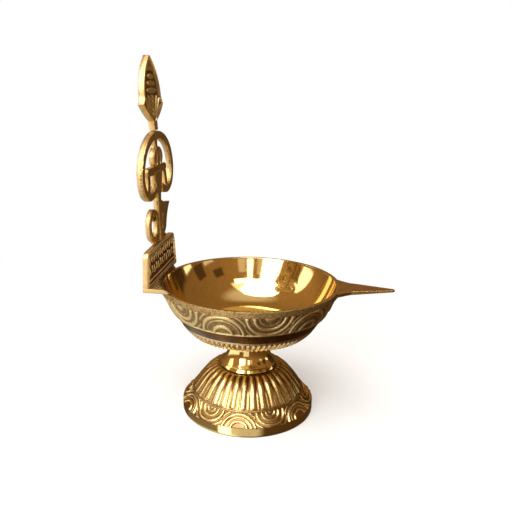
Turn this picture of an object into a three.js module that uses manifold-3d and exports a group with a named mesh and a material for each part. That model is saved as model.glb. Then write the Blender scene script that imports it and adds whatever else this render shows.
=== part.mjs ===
// Brass diya oil lamp: a fluted foot, a turned neck and a shallow oil bowl with a flat wick spout,
// and an upright crest of scrollwork standing behind the bowl.
// Millimetres, +Z up, +X along the spout, +Y to the far side.  The lamp stands on z = 0.

import * as THREE from 'three';
import { mergeVertices } from 'three/addons/utils/BufferGeometryUtils.js';
import Module from 'manifold-3d';

const wasm = await Module();
wasm.setup();

// ---- Driving dimensions -------------------------------------------------------------------------

const GAP = 0.3; // clearance left between two pieces that bear on each other
const TURNED_SIDES = 48; // flats round a turned piece
const CURVE_STEPS = 6; // steps along each curve of a turned profile
const OUTLINE_STEPS = 4; // steps along each curve of a cut outline

const FOOT_RADIUS = 28.4;
const FOOT_BAND_Z = 4.2; // top of the plain band round the foot
const FLUTE_BOTTOM = { r: 23.6, z: 9.4 };
const FOOT_TOP = { r: 12.4, z: 19.8 };
const FOOT_WALL = 2.4;

const NECK_BOTTOM_Z = FOOT_TOP.z + GAP;
const NECK_COLLAR = { r: 12.4, z: 21.2 };
const NECK_WAIST = { r: 8.4, z: 29.4 };
const NECK_TOP_R = 10.2;

const BOWL_BASE_Z = 34.6;
const BOWL_BASE_R = 19.8;
const BOWL_FLOOR_Z = 38.2;
const BOWL_RIM = { r: 37.5, z: 57.2 };
const BOWL_LIP_HEIGHT = 2.6;
const BOWL_LIP_WIDTH = 1.6;
const BOSS = { r: 6, z: 29, hole: 36.4 }; // blind boss under the bowl that takes the tie rod

const ROD_RADIUS = 3;
const ROD_BOTTOM_Z = 9.5;
const WASHER = { r: 7, thickness: 1.2 };
const NUT = { acrossFlats: 10, height: 5 };

const SPOUT_TIP_X = 59.8;
const SPOUT_NECK = { x: 42, half: 5.8 }; // where the flare at the rim meets the straight taper
const SPOUT_TIP_R = 1.3;
const SPOUT_ROOT_THICKNESS = 1.8;
const SPOUT_TIP_THICKNESS = 0.9;

const CREST_X = -37.4; // front face of the crest at rim height
const CREST_THICKNESS = 2.5;
const FINIAL_THICKNESS = 2.7;
const CREST_LEAN = THREE.MathUtils.degToRad(1.7);
const FINIAL_BEND = THREE.MathUtils.degToRad(3.1);

const PLATE = { topHalf: 19.8, footHalf: 22.4, shoulder: 72, peak: 72.6, corner: 2.6, bottom: 56.7 };
// Web from the foot of the plate onto the rim; its far side is cut back to where it meets the rim.
const WEB = { reach: 8, farReach: 4.4, farHalf: 15, top: 58.4, innerRadius: 36.2 };

const SCROLL_TOP = 118;
const RING_SHIFT = 0.9; // the ring sits a little to the far side of its stem
const FINIAL_NECK_HALF = 2.2;
const FINIAL_TOP = 147.2;

// ---- Finish -------------------------------------------------------------------------------------

function metal(name, color, roughness) {
  return new THREE.MeshStandardMaterial({ name, color, roughness, metalness: 1 });
}

const POLISHED = metal('polished_brass', 0xd9a441, 0.18);
const CAST = metal('cast_brass', 0xb98a3c, 0.42);
const SATIN = metal('satin_brass', 0xa87a34, 0.35);
const STEEL = metal('zinc_steel', 0x9a9a98, 0.4);

// ---- Solid helpers ------------------------------------------------------------------------------

function toSolid(geometry) {
  const bare = geometry.clone();
  bare.deleteAttribute('normal');
  bare.deleteAttribute('uv');
  const merged = mergeVertices(bare, 1e-4);
  return new wasm.Manifold(
    new wasm.Mesh({
      numProp: 3,
      vertProperties: Float32Array.from(merged.attributes.position.array),
      triVerts: Uint32Array.from(merged.index.array),
    }),
  );
}

function toGeometry(solid) {
  const mesh = solid.getMesh();
  const geometry = new THREE.BufferGeometry();
  geometry.setAttribute('position', new THREE.BufferAttribute(mesh.vertProperties, 3));
  geometry.setIndex(new THREE.BufferAttribute(mesh.triVerts, 1));
  geometry.computeVertexNormals();
  return geometry;
}

function piece(name, geometry, material) {
  const mesh = new THREE.Mesh(geometry, material);
  mesh.name = name;
  return mesh;
}

// A profile of (radius, height) points, turned about the vertical axis.
function turned(path, sides = TURNED_SIDES) {
  const geometry = new THREE.LatheGeometry(path.getPoints(CURVE_STEPS), sides);
  return geometry.rotateX(Math.PI / 2);
}

function ring(innerRadius, outerRadius, bottom, top) {
  const path = new THREE.Path();
  path.moveTo(innerRadius, bottom);
  path.lineTo(outerRadius, bottom);
  path.lineTo(outerRadius, top);
  path.lineTo(innerRadius, top);
  path.lineTo(innerRadius, bottom);
  return turned(path, TURNED_SIDES / 2);
}

// A shape drawn in plan (x, y), standing from bottom to top.
function standing(shape, bottom, top) {
  const settings = { depth: top - bottom, bevelEnabled: false, curveSegments: OUTLINE_STEPS };
  return new THREE.ExtrudeGeometry(shape, settings).translate(0, 0, bottom);
}

// A shape drawn on the crest's front face: shape x runs along +Y, shape y is the height above the table.
const CREST_AXES = new THREE.Matrix4().makeBasis(
  new THREE.Vector3(0, 1, 0),
  new THREE.Vector3(0, 0, 1),
  new THREE.Vector3(1, 0, 0),
);

function crestSlab(shape, thickness = CREST_THICKNESS) {
  const settings = { depth: thickness, bevelEnabled: false, curveSegments: OUTLINE_STEPS };
  const geometry = new THREE.ExtrudeGeometry(shape, settings);
  return geometry.translate(0, -BOWL_RIM.z, -thickness).applyMatrix4(CREST_AXES);
}

// A bar of even width along a smooth line through the given points, with square ends.
function barShape(points, width, closed = false) {
  const curve = new THREE.CatmullRomCurve3(
    points.map(([x, y]) => new THREE.Vector3(x, y, 0)),
    closed,
    'centripetal',
  );
  const steps = points.length * OUTLINE_STEPS;
  const side = (offset) => {
    const line = [];
    for (let i = 0; i < steps + (closed ? 0 : 1); i++) {
      const at = curve.getPoint(i / steps);
      const along = curve.getTangent(i / steps);
      line.push(new THREE.Vector2(at.x - along.y * offset, at.y + along.x * offset));
    }
    return line;
  };
  const outer = side(-width / 2);
  const inner = side(width / 2);
  if (!closed) return new THREE.Shape([...outer, ...inner.reverse()]);
  const shape = new THREE.Shape(outer);
  shape.holes.push(new THREE.Path(inner));
  return shape;
}

function ellipse(x, y, rx, ry) {
  const shape = new THREE.Shape();
  shape.absellipse(x, y, rx, ry, 0, 2 * Math.PI);
  return shape;
}

const mirrored = (points) => points.map(([x, y]) => [-x, y]);

// ---- Foot, neck and fixings ---------------------------------------------------------------------

const rodHole = ROD_RADIUS + GAP;

function foot() {
  const { r: fluteR, z: fluteZ } = FLUTE_BOTTOM;
  const ceiling = FOOT_TOP.z - FOOT_WALL;
  const path = new THREE.Path();
  path.moveTo(rodHole, ceiling);
  path.bezierCurveTo(14, ceiling, 17.5, 13.4, fluteR - FOOT_WALL, fluteZ - 2);
  path.quadraticCurveTo(23.2, 4.4, FOOT_RADIUS - 2.8, 0);
  path.lineTo(FOOT_RADIUS - 0.6, 0);
  path.quadraticCurveTo(FOOT_RADIUS - 0.1, 0.1, FOOT_RADIUS, 0.8);
  path.lineTo(FOOT_RADIUS, FOOT_BAND_Z);
  path.quadraticCurveTo(25.1, 6.3, fluteR, fluteZ);
  path.bezierCurveTo(19.5, 15.6, 16.5, 19.6, FOOT_TOP.r, FOOT_TOP.z);
  path.lineTo(rodHole, FOOT_TOP.z);
  path.lineTo(rodHole, ceiling);
  return piece('foot', turned(path), CAST);
}

function neck() {
  const top = BOWL_BASE_Z - GAP;
  const seat = BOSS.z - GAP;
  const path = new THREE.Path();
  path.moveTo(rodHole, NECK_BOTTOM_Z);
  path.lineTo(NECK_COLLAR.r, NECK_BOTTOM_Z);
  path.lineTo(NECK_COLLAR.r, NECK_COLLAR.z);
  path.bezierCurveTo(10.6, 23.2, 8.6, 25, NECK_WAIST.r, NECK_WAIST.z);
  path.quadraticCurveTo(NECK_WAIST.r, 33, NECK_TOP_R, top);
  path.lineTo(BOSS.r + GAP, top);
  path.lineTo(BOSS.r + GAP, seat);
  path.lineTo(rodHole, seat);
  path.lineTo(rodHole, NECK_BOTTOM_Z);
  return piece('neck', turned(path), POLISHED);
}

function tieRod() {
  const top = BOSS.hole - GAP;
  const rod = new THREE.CylinderGeometry(ROD_RADIUS, ROD_RADIUS, top - ROD_BOTTOM_Z, TURNED_SIDES / 2);
  rod.rotateX(Math.PI / 2).translate(0, 0, (top + ROD_BOTTOM_Z) / 2);
  return piece('tie_rod', rod, STEEL);
}

const washerTop = FOOT_TOP.z - FOOT_WALL - GAP;
const nutTop = washerTop - WASHER.thickness - GAP;

function washer() {
  return piece('washer', ring(rodHole, WASHER.r, washerTop - WASHER.thickness, washerTop), STEEL);
}

function nut() {
  const cornerRadius = NUT.acrossFlats / Math.sqrt(3);
  const corners = Array.from({ length: 6 }, (_, i) => {
    const angle = (i * Math.PI) / 3;
    return new THREE.Vector2(cornerRadius * Math.cos(angle), cornerRadius * Math.sin(angle));
  });
  const hexagon = new THREE.Shape(corners);
  const hole = new THREE.Path();
  hole.absarc(0, 0, rodHole, 0, 2 * Math.PI);
  hexagon.holes.push(hole);
  return piece('nut', standing(hexagon, nutTop - NUT.height, nutTop), STEEL);
}

// ---- Bowl and spout -----------------------------------------------------------------------------

function bowl() {
  const lipBottom = BOWL_RIM.z - BOWL_LIP_HEIGHT;
  const path = new THREE.Path();
  path.moveTo(0, BOSS.hole);
  path.lineTo(rodHole, BOSS.hole);
  path.lineTo(rodHole, BOSS.z);
  path.lineTo(BOSS.r, BOSS.z);
  path.lineTo(BOSS.r, BOWL_BASE_Z);
  path.lineTo(BOWL_BASE_R, BOWL_BASE_Z);
  path.bezierCurveTo(26, BOWL_BASE_Z, 33.5, 46.5, BOWL_RIM.r - 0.9, lipBottom);
  path.lineTo(BOWL_RIM.r, lipBottom + 0.3);
  path.lineTo(BOWL_RIM.r, BOWL_RIM.z);
  path.lineTo(BOWL_RIM.r - BOWL_LIP_WIDTH, BOWL_RIM.z);
  path.bezierCurveTo(32.5, 47.5, 26.5, BOWL_FLOOR_Z, 14, BOWL_FLOOR_Z);
  path.lineTo(0, BOWL_FLOOR_Z);
  return piece('bowl', turned(path), POLISHED);
}

// A disc about the bowl's axis, from well below the rim up to top, for cutting whatever is joined to it.
function rimCut(radius, top) {
  const bottom = BOWL_RIM.z - 10;
  const path = new THREE.Path();
  path.moveTo(0, bottom);
  path.lineTo(radius, bottom);
  path.lineTo(radius, top);
  path.lineTo(0, top);
  return toSolid(turned(path));
}

function spout() {
  const tipCentre = SPOUT_TIP_X - SPOUT_TIP_R;
  const plan = new THREE.Shape();
  plan.moveTo(34, -12.4);
  plan.quadraticCurveTo(38, -8, SPOUT_NECK.x, -SPOUT_NECK.half);
  plan.lineTo(tipCentre, -SPOUT_TIP_R);
  plan.absarc(tipCentre, 0, SPOUT_TIP_R, -Math.PI / 2, Math.PI / 2);
  plan.lineTo(SPOUT_NECK.x, SPOUT_NECK.half);
  plan.quadraticCurveTo(38, 8, 34, 12.4);
  const tongue = toSolid(standing(plan, BOWL_RIM.z - SPOUT_ROOT_THICKNESS, BOWL_RIM.z));

  const side = new THREE.Shape();
  side.moveTo(30, BOWL_RIM.z + 1);
  side.lineTo(30, BOWL_RIM.z - SPOUT_ROOT_THICKNESS);
  side.lineTo(38, BOWL_RIM.z - SPOUT_ROOT_THICKNESS);
  side.lineTo(SPOUT_TIP_X + 1, BOWL_RIM.z - SPOUT_TIP_THICKNESS);
  side.lineTo(SPOUT_TIP_X + 1, BOWL_RIM.z + 1);
  const depth = 30;
  const taper = new THREE.ExtrudeGeometry(side, { depth, bevelEnabled: false });
  taper.rotateX(Math.PI / 2).translate(0, depth / 2, 0);

  const clearance = rimCut(BOWL_RIM.r + GAP, BOWL_RIM.z + 10);
  const solid = tongue.intersect(toSolid(taper)).subtract(clearance);
  return piece('spout', toGeometry(solid), SATIN);
}

// ---- Crest --------------------------------------------------------------------------------------

function crestPlate() {
  const { topHalf, footHalf, shoulder, peak, corner, bottom } = PLATE;
  const face = new THREE.Shape();
  face.moveTo(-footHalf, bottom);
  face.lineTo(footHalf, bottom);
  face.lineTo(topHalf + 0.4, shoulder - corner);
  face.quadraticCurveTo(topHalf, shoulder, topHalf - corner, shoulder);
  face.quadraticCurveTo(topHalf / 3, shoulder + 0.6, 0, peak);
  face.quadraticCurveTo(-topHalf / 3, shoulder + 0.6, corner - topHalf, shoulder);
  face.quadraticCurveTo(-topHalf, shoulder, -topHalf - 0.4, shoulder - corner);

  const web = new THREE.Shape();
  web.moveTo(-1, -footHalf);
  web.lineTo(WEB.reach, -footHalf);
  web.lineTo(WEB.farReach, WEB.farHalf);
  web.lineTo(0.6, footHalf - 1);
  web.lineTo(-1, footHalf - 1);
  const shelf = toSolid(standing(web, bottom - BOWL_RIM.z, WEB.top - BOWL_RIM.z));

  const lip = rimCut(BOWL_RIM.r + GAP, BOWL_RIM.z + GAP).translate(-CREST_X, 0, -BOWL_RIM.z);
  const mouth = rimCut(WEB.innerRadius, BOWL_RIM.z + 10).translate(-CREST_X, 0, -BOWL_RIM.z);
  const solid = toSolid(crestSlab(face)).add(shelf).subtract(lip).subtract(mouth);
  return piece('crest_plate', toGeometry(solid), CAST);
}

// The open ring, its two ends curling in to the body of the scroll.
function scrollRing() {
  const halfLine = [
    [5, 94.6],
    [8.5, 93.2],
    [13.5, 93],
    [18.8, 95.8],
    [21, 101.4],
    [18.2, 108.8],
    [11.4, 113.9],
  ];
  const shift = (points) => points.map(([x, y]) => [x + RING_SHIFT, y]);
  return barShape([...shift(mirrored(halfLine)), [0, SCROLL_TOP - 1.6], ...shift(halfLine).reverse()], 3.2);
}

// The vase-shaped body with its stem running down to the plate.
function scrollBody() {
  const shape = new THREE.Shape();
  const stem = 1.9;
  shape.moveTo(-5.2, 102);
  shape.bezierCurveTo(-5.2, 96, -2.2, 95, -stem, 89);
  shape.lineTo(-stem, PLATE.peak + GAP);
  shape.lineTo(stem, PLATE.peak + GAP);
  shape.lineTo(stem, 89);
  shape.bezierCurveTo(2.2, 95, 5.2, 96, 5.2, 102);
  return shape;
}

// The pointed leaf that branches off the stem to the far side.
function scrollLeaf() {
  const shape = new THREE.Shape();
  shape.moveTo(1, 91.6);
  shape.quadraticCurveTo(3.4, 87.8, 16.2, 86.7);
  shape.quadraticCurveTo(11, 83, 9.6, 78);
  shape.quadraticCurveTo(8.6, 75.2, 5.6, 74.4);
  shape.lineTo(1, 74.4);
  shape.holes.push(ellipse(3.7, 80.4, 1, 3.4));
  return shape;
}

// The slotted bud above the shoulders.
function scrollBud() {
  const centre = { x: RING_SHIFT, y: 107.4 };
  const shape = ellipse(centre.x, centre.y, 6, 4.4);
  [-2.3, 2.3].forEach((x) => shape.holes.push(ellipse(centre.x + x, centre.y, 0.9, 2.8)));
  return shape;
}

// The closed loop on the near side, and the small curl inside it.
function scrollLoop() {
  const loop = [
    [-2.4, 80],
    [-4.2, 84.8],
    [-8.4, 86.3],
    [-12, 84.4],
    [-13.2, 80.6],
    [-11.6, 76.8],
    [-7.6, 74.9],
    [-3.6, 76.4],
  ];
  const curl = [
    [-3.4, 84.6],
    [-6.2, 82.8],
    [-8.6, 84],
  ];
  return [barShape(loop, 2.2, true), barShape(curl, 1.7)];
}

function scrollShoulders() {
  const y = 102.5;
  const drops = [-1, 1].map((side) =>
    barShape([[side * 11, y], [side * 12 + RING_SHIFT, 98.4], [side * 13 + RING_SHIFT, 93.6]], 2.2),
  );
  return [barShape([[-11.8, y], [11.8, y]], 3.2), ...drops];
}

function crestScroll() {
  const stemTop = barShape([[0, 110], [0, SCROLL_TOP - 2]], 2.6);
  const sill = barShape([[-8, PLATE.peak + 1], [8, PLATE.peak + 1]], 1.4);
  const single = [scrollRing(), scrollBody(), scrollLeaf(), scrollBud(), stemTop, sill];
  const solids = [...single, ...scrollLoop(), ...scrollShoulders()].map((shape) => toSolid(crestSlab(shape)));
  return piece('crest_scroll', toGeometry(solids.reduce((whole, next) => whole.add(next))), CAST);
}

function crestFinial() {
  const bottom = SCROLL_TOP + GAP;
  const face = new THREE.Shape();
  face.moveTo(-FINIAL_NECK_HALF, bottom);
  face.lineTo(FINIAL_NECK_HALF, bottom);
  face.lineTo(FINIAL_NECK_HALF, 122);
  face.quadraticCurveTo(9, 124.6, 13.4, 128.6);
  face.quadraticCurveTo(11.4, 130.2, 11.2, 131.6);
  face.bezierCurveTo(10.9, 138, 7, 143, 0, FINIAL_TOP);
  face.bezierCurveTo(-7, 143, -10.9, 138, -11.2, 131.6);
  face.quadraticCurveTo(-11.4, 130.2, -13.4, 128.6);
  face.quadraticCurveTo(-9, 124.6, -FINIAL_NECK_HALF, 122);
  const slab = crestSlab(face, FINIAL_THICKNESS).translate(0, 0, BOWL_RIM.z - bottom);
  const finial = piece('crest_finial', slab, CAST);
  finial.position.z = bottom - BOWL_RIM.z;
  finial.rotation.y = -FINIAL_BEND;
  return finial;
}

// ---- Assembly -----------------------------------------------------------------------------------

const crest = new THREE.Group();
crest.add(crestPlate(), crestScroll(), crestFinial());
crest.position.set(CREST_X, 0, BOWL_RIM.z);
crest.rotation.y = -CREST_LEAN;

const lamp = new THREE.Group();
lamp.add(foot(), neck(), bowl(), spout(), tieRod(), washer(), nut(), crest);

// The origin is under the middle of the lamp's length, so the bowl's axis lies a little behind it.
lamp.updateMatrixWorld(true);
const extent = new THREE.Box3().setFromObject(lamp, true);
lamp.position.x = -(extent.min.x + extent.max.x) / 2;

export default lamp;
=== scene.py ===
# Brass diya oil lamp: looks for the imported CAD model, in its frame. +X runs along the spout, +Y to the far
# side, +Z up, and the lamp stands on z = 0. The shapes are drawn in millimetres and made in metres.

import math

import bpy
import numpy as np
from mathutils import Matrix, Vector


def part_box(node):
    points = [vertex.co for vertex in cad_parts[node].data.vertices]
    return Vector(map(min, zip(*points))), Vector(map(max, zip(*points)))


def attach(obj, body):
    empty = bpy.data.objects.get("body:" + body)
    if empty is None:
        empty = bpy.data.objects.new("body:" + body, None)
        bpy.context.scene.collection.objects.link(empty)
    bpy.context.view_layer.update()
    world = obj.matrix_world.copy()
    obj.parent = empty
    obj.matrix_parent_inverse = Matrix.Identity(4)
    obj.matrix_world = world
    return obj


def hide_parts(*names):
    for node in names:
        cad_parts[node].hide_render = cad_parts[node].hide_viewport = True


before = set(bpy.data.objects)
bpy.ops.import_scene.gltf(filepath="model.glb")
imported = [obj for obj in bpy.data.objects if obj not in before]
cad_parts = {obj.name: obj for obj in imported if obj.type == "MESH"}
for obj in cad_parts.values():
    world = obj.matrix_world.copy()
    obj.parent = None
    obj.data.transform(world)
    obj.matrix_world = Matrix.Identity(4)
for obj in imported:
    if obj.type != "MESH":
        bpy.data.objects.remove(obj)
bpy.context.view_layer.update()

# ---- Sizes, in millimetres, measured on the CAD frame where it has them ---------------------------

MM = 0.001


def extent(node):
    """Lowest and highest corner of a CAD node, in millimetres."""
    low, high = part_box(node)
    return np.array(low) / MM, np.array(high) / MM


bowl_low, bowl_high = extent("bowl")
foot_low, foot_high = extent("foot")
neck_low, neck_high = extent("neck")
rod_low, rod_high = extent("tie_rod")
washer_low, washer_high = extent("washer")
nut_low, nut_high = extent("nut")

AXIS_X = (bowl_low[0] + bowl_high[0]) / 2  # the turned parts' axis
RIM_R = (bowl_high[0] - bowl_low[0]) / 2
RIM_Z = bowl_high[2]
SPOUT_TIP_X = extent("spout")[1][0]
FOOT_R = (foot_high[0] - foot_low[0]) / 2
FOOT_TOP_Z = foot_high[2]
COLLAR_R = (neck_high[0] - neck_low[0]) / 2
ROD_R = (rod_high[0] - rod_low[0]) / 2
HOLE_R = ROD_R + 0.3

COLUMNS = 720  # steps round a turned piece with relief
SMOOTH_COLUMNS = 192  # steps round a plain one
SHARP = math.radians(38)  # edges sharper than this stay crisp

FOOT_BAND_Z = 4.2
FOOT_LINE = (23.6, 9.4)  # radius and height of the raised line under the flutes
FOOT_SHOULDER_R = 12.4
FOOT_ARCS = 12  # groups of arcs round the foot, upright and hanging in turn
FLUTES = 33

BOWL_FLOOR_Z = 38.2
BOWL_BASE_Z = 34.6
BOWL_BASE_R = 19.8
LIP_HEIGHT = 2.6
LIP_WIDTH = 1.6
BOWL_ARCS = 12
CURLS = 80

CREST_LEAN = math.radians(1.7)
FINIAL_BEND = math.radians(3.1)
CREST_FRONT_X = -37.4 + AXIS_X  # front face of the crest at rim height
CREST_THICKNESS = 2.5
FINIAL_THICKNESS = 2.7
SCROLL_TOP = 118
FINIAL_FOOT_Z = SCROLL_TOP + 0.3
FINIAL_TOP_Z = 147.2
RING_SHIFT = 0.9
PLATE_PEAK_Z = 72.6
PLATE_FOOT_Z = 56.7
WEB_TOP_Z = 58.4
WEB_INNER_R = 36.2


# ---- Node materials -------------------------------------------------------------------------------


def add(tree, kind, inputs=None, **settings):
    """A new shader node. inputs maps a socket to a value or to the output that feeds it."""
    node = tree.nodes.new(kind)
    for key, value in settings.items():
        setattr(node, key, value)
    for key, value in (inputs or {}).items():
        if isinstance(value, bpy.types.NodeSocket):
            tree.links.new(value, node.inputs[key])
        else:
            node.inputs[key].default_value = value
    return node


def maths(tree, operation, a, b=0.0, c=0.0):
    node = add(tree, "ShaderNodeMath", {0: a, 1: b, 2: c}, operation=operation)
    return node.outputs[0]


def remap(tree, value, low, high, to_low=0.0, to_high=1.0, smooth=False):
    """value taken from low..high to to_low..to_high, clamped."""
    settings = {"interpolation_type": "SMOOTHSTEP" if smooth else "LINEAR"}
    inputs = {"Value": value, "From Min": low, "From Max": high, "To Min": to_low, "To Max": to_high}
    return add(tree, "ShaderNodeMapRange", inputs, **settings).outputs["Result"]


def blend(tree, factor, a, b):
    """Colour a where factor is 0, b where it is 1."""
    node = add(tree, "ShaderNodeMix", data_type="RGBA")
    sockets = {s.name: s for s in node.inputs if s.enabled}
    for key, value in (("Factor", factor), ("A", a), ("B", b)):
        if isinstance(value, bpy.types.NodeSocket):
            tree.links.new(value, sockets[key])
        else:
            sockets[key].default_value = value
    return next(s for s in node.outputs if s.enabled)


def millimetres(tree):
    """Object coordinates in millimetres."""
    place = add(tree, "ShaderNodeTexCoord").outputs["Object"]
    inputs = {0: place, "Scale": 1 / MM}
    return add(tree, "ShaderNodeVectorMath", inputs, operation="SCALE").outputs[0]


def noise(tree, place, scale, detail, roughness, stretch=None):
    """Noise of about scale blotches to the millimetre."""
    if stretch:
        inputs = {0: place, 1: stretch}
        place = add(tree, "ShaderNodeVectorMath", inputs, operation="MULTIPLY").outputs[0]
    inputs = {"Vector": place, "Scale": scale, "Detail": detail, "Roughness": roughness}
    return add(tree, "ShaderNodeTexNoise", inputs).outputs["Fac"]


def turning_marks(tree, place, scale):
    """Fine circles about the turned parts' axis, as a lathe and a buff leave them."""
    inputs = {0: place, 1: (AXIS_X, 0, 0)}
    centred = add(tree, "ShaderNodeVectorMath", inputs, operation="SUBTRACT").outputs[0]
    axes = add(tree, "ShaderNodeSeparateXYZ", {0: centred}).outputs
    squares = [maths(tree, "POWER", axes[k], 2.0) for k in (0, 1)]
    radius = maths(tree, "SQRT", maths(tree, "ADD", *squares))
    line = add(tree, "ShaderNodeCombineXYZ", {0: radius, 2: axes[2]}).outputs[0]
    return noise(tree, line, scale, 3.0, 0.6)


BLOTCHES, SMUDGES, SPECKS = 0.16, 0.5, 1.9  # noise scales, in blotches to the millimetre
BUMP_HEIGHT = 0.1  # millimetres


def metal(name, bright, dark, shine, grain, grain_scale, cavity, marks=None, stretch=None, speckle=0.0):
    """Brass or steel. shine is (low, high) roughness. The metal goes from dark to bright between the two
    relief heights of cavity, in millimetres, with blotches and fine specks. The dark in the hollows is
    patina and painted shade together."""
    material = bpy.data.materials.new(name)
    material.use_nodes = True
    tree = material.node_tree
    shader = tree.nodes["Principled BSDF"]
    place = millimetres(tree)
    relief = add(tree, "ShaderNodeAttribute", attribute_name="relief").outputs["Fac"]
    blotch = noise(tree, place, BLOTCHES, 4.0, 0.6)
    cleanness_and_light = maths(tree, "ADD", relief, remap(tree, blotch, 0.35, 0.7, -0.05, 0.05))
    if speckle:
        specks = remap(tree, noise(tree, place, SPECKS, 2.0, 0.6), 0.38, 0.62, -speckle, speckle)
        cleanness_and_light = maths(tree, "ADD", cleanness_and_light, specks)
    # Dark in the hollows, bright on the proud relief: patina and painted shade together.
    clean_and_lit = remap(tree, cleanness_and_light, cavity[0], cavity[1], smooth=True)
    smudge = noise(tree, place, SMUDGES, 5.0, 0.65)
    tone = remap(tree, smudge, 0.3, 0.72, 0.86, 1.0)
    worn_and_shaded = blend(tree, clean_and_lit, dark, bright)
    inputs = {0: worn_and_shaded, "Scale": tone}
    colour = add(tree, "ShaderNodeVectorMath", inputs, operation="SCALE").outputs[0]
    tree.links.new(colour, shader.inputs["Base Color"])
    worn_rough = remap(tree, smudge, 0.3, 0.75, *shine)
    dirt_rough = remap(tree, clean_and_lit, 0.0, 1.0, 0.14, 0.0)
    rough = maths(tree, "ADD", worn_rough, dirt_rough)
    tree.links.new(rough, shader.inputs["Roughness"])
    shader.inputs["Metallic"].default_value = 1.0
    height = noise(tree, place, grain_scale, 4.0, 0.6, stretch)
    if marks:
        height = maths(tree, "ADD", maths(tree, "MULTIPLY", height, 0.35), turning_marks(tree, place, marks))
    inputs = {"Strength": grain, "Distance": BUMP_HEIGHT * MM, "Height": height}
    bump = add(tree, "ShaderNodeBump", inputs).outputs["Normal"]
    tree.links.new(bump, shader.inputs["Normal"])
    return material


GOLD = (0.90, 0.69, 0.30, 1)
BRIGHT_GOLD = (0.95, 0.82, 0.56, 1)
SOFT_GOLD = (0.75, 0.585, 0.34, 1)
PALE_GOLD = (0.92, 0.74, 0.37, 1)
WARM_GOLD = (0.78, 0.54, 0.24, 1)
UMBER = (0.12, 0.055, 0.016, 1)
DULL_GOLD = (0.53, 0.40, 0.18, 1)
BROWN = (0.27, 0.13, 0.04, 1)
KHAKI = (0.33, 0.21, 0.095, 1)
DARK_BROWN = (0.20, 0.095, 0.035, 1)
ZINC = (0.62, 0.61, 0.58, 1)
DULL_ZINC = (0.2, 0.19, 0.17, 1)

POLISHED = metal("polished_brass", GOLD, WARM_GOLD, (0.04, 0.10), 0.05, 1.2, marks=2.2, cavity=(-0.3, 0.0))
# The belt below the arcs is dark brown and umber as a painted dark reflection of the room below it.
DARK_REFLECTION_BELT = metal("belt_brass_painted_reflection", DARK_BROWN, UMBER, (0.20, 0.34), 0.3, 2.6, marks=2.2, cavity=(-0.06, 0.04))
LIP = metal("grained_brass", DULL_GOLD, BROWN, (0.38, 0.52), 1.4, 4.0, cavity=(-0.25, 0.1), speckle=0.22)
ENGRAVED = metal(
    "engraved_brass", PALE_GOLD, KHAKI, (0.28, 0.44), 1.0, 3.2, cavity=(-0.02, 0.36), speckle=0.12
)
# The dark brown in the flutes' grooves is painted shade as well as patina.
FLUTED = metal("fluted_brass", GOLD, DARK_BROWN, (0.15, 0.28), 0.6, 2.2, cavity=(-0.2, 0.25))
ROPE = metal("rope_brass", BRIGHT_GOLD, BROWN, (0.18, 0.32), 0.6, 3.2, cavity=(-0.35, 0.1))
ROUGH_CAST = metal("sand_cast_brass", WARM_GOLD, UMBER, (0.45, 0.6), 0.9, 1.6, cavity=(-0.2, 0.1))
CAST = metal("cast_brass", PALE_GOLD, UMBER, (0.38, 0.5), 0.6, 2.6, cavity=(-1.15, -0.25))
LEAFED = metal("leafed_brass", BRIGHT_GOLD, UMBER, (0.4, 0.52), 0.3, 2.6, cavity=(-0.3, -0.08))
WEB = metal("beaded_brass", DULL_GOLD, UMBER, (0.4, 0.55), 0.8, 2.6, cavity=(-0.75, 0.15))
OPENWORK = metal("openwork_brass", GOLD, UMBER, (0.26, 0.40), 0.9, 2.2, cavity=(-0.95, 0.1), speckle=0.1)
FILED = metal("filed_brass", SOFT_GOLD, WARM_GOLD, (0.30, 0.42), 1.3, 2.2, cavity=(-0.3, 0.0))
SATIN = metal(
    "satin_brass", WARM_GOLD, BROWN, (0.22, 0.34), 0.8, 5.0, cavity=(-0.35, -0.1), stretch=(0.04, 1.0, 1.0)
)
STEEL = metal("zinc_steel", ZINC, DULL_ZINC, (0.28, 0.42), 0.25, 2.0, cavity=(-0.3, 0.0))


# ---- Curves and distances in a flat drawing -------------------------------------------------------


def bezier(points, steps=24):
    """A quadratic or cubic curve from its control points."""
    points = np.array(points, float)[:, None, :]
    t = np.linspace(0, 1, steps + 1)[:, None]
    while len(points) > 1:
        points = points[:-1] * (1 - t) + points[1:] * t
    return points[0]


def arc(centre, radius, start, end, steps=6):
    angle = np.radians(np.linspace(start, end, steps + 1))
    return np.stack([centre[0] + radius * np.cos(angle), centre[1] + radius * np.sin(angle)], 1)


def through(points, closed=False, steps=10):
    """A smooth line through the points: a centripetal Catmull-Rom spline."""
    p = np.array(points, float)
    if closed:
        p = np.vstack([p[-1], p, p[0], p[1]])
    else:
        p = np.vstack([2 * p[0] - p[1], p, 2 * p[-1] - p[-2]])
    line = []
    for a, b, c, d in zip(p, p[1:], p[2:], p[3:]):
        knots = np.cumsum([0, *(np.linalg.norm(y - x) ** 0.5 for x, y in ((a, b), (b, c), (c, d)))])
        t = np.linspace(knots[1], knots[2], steps, endpoint=False)[:, None]

        def between(left, right, i, j):
            return (left * (knots[j] - t) + right * (t - knots[i])) / (knots[j] - knots[i])

        ab, bc, cd = between(a, b, 0, 1), between(b, c, 1, 2), between(c, d, 2, 3)
        line.append(between(between(ab, bc, 0, 2), between(bc, cd, 1, 3), 1, 2))
    line = np.vstack(line)
    return line if closed else np.vstack([line, p[-2]])


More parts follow.
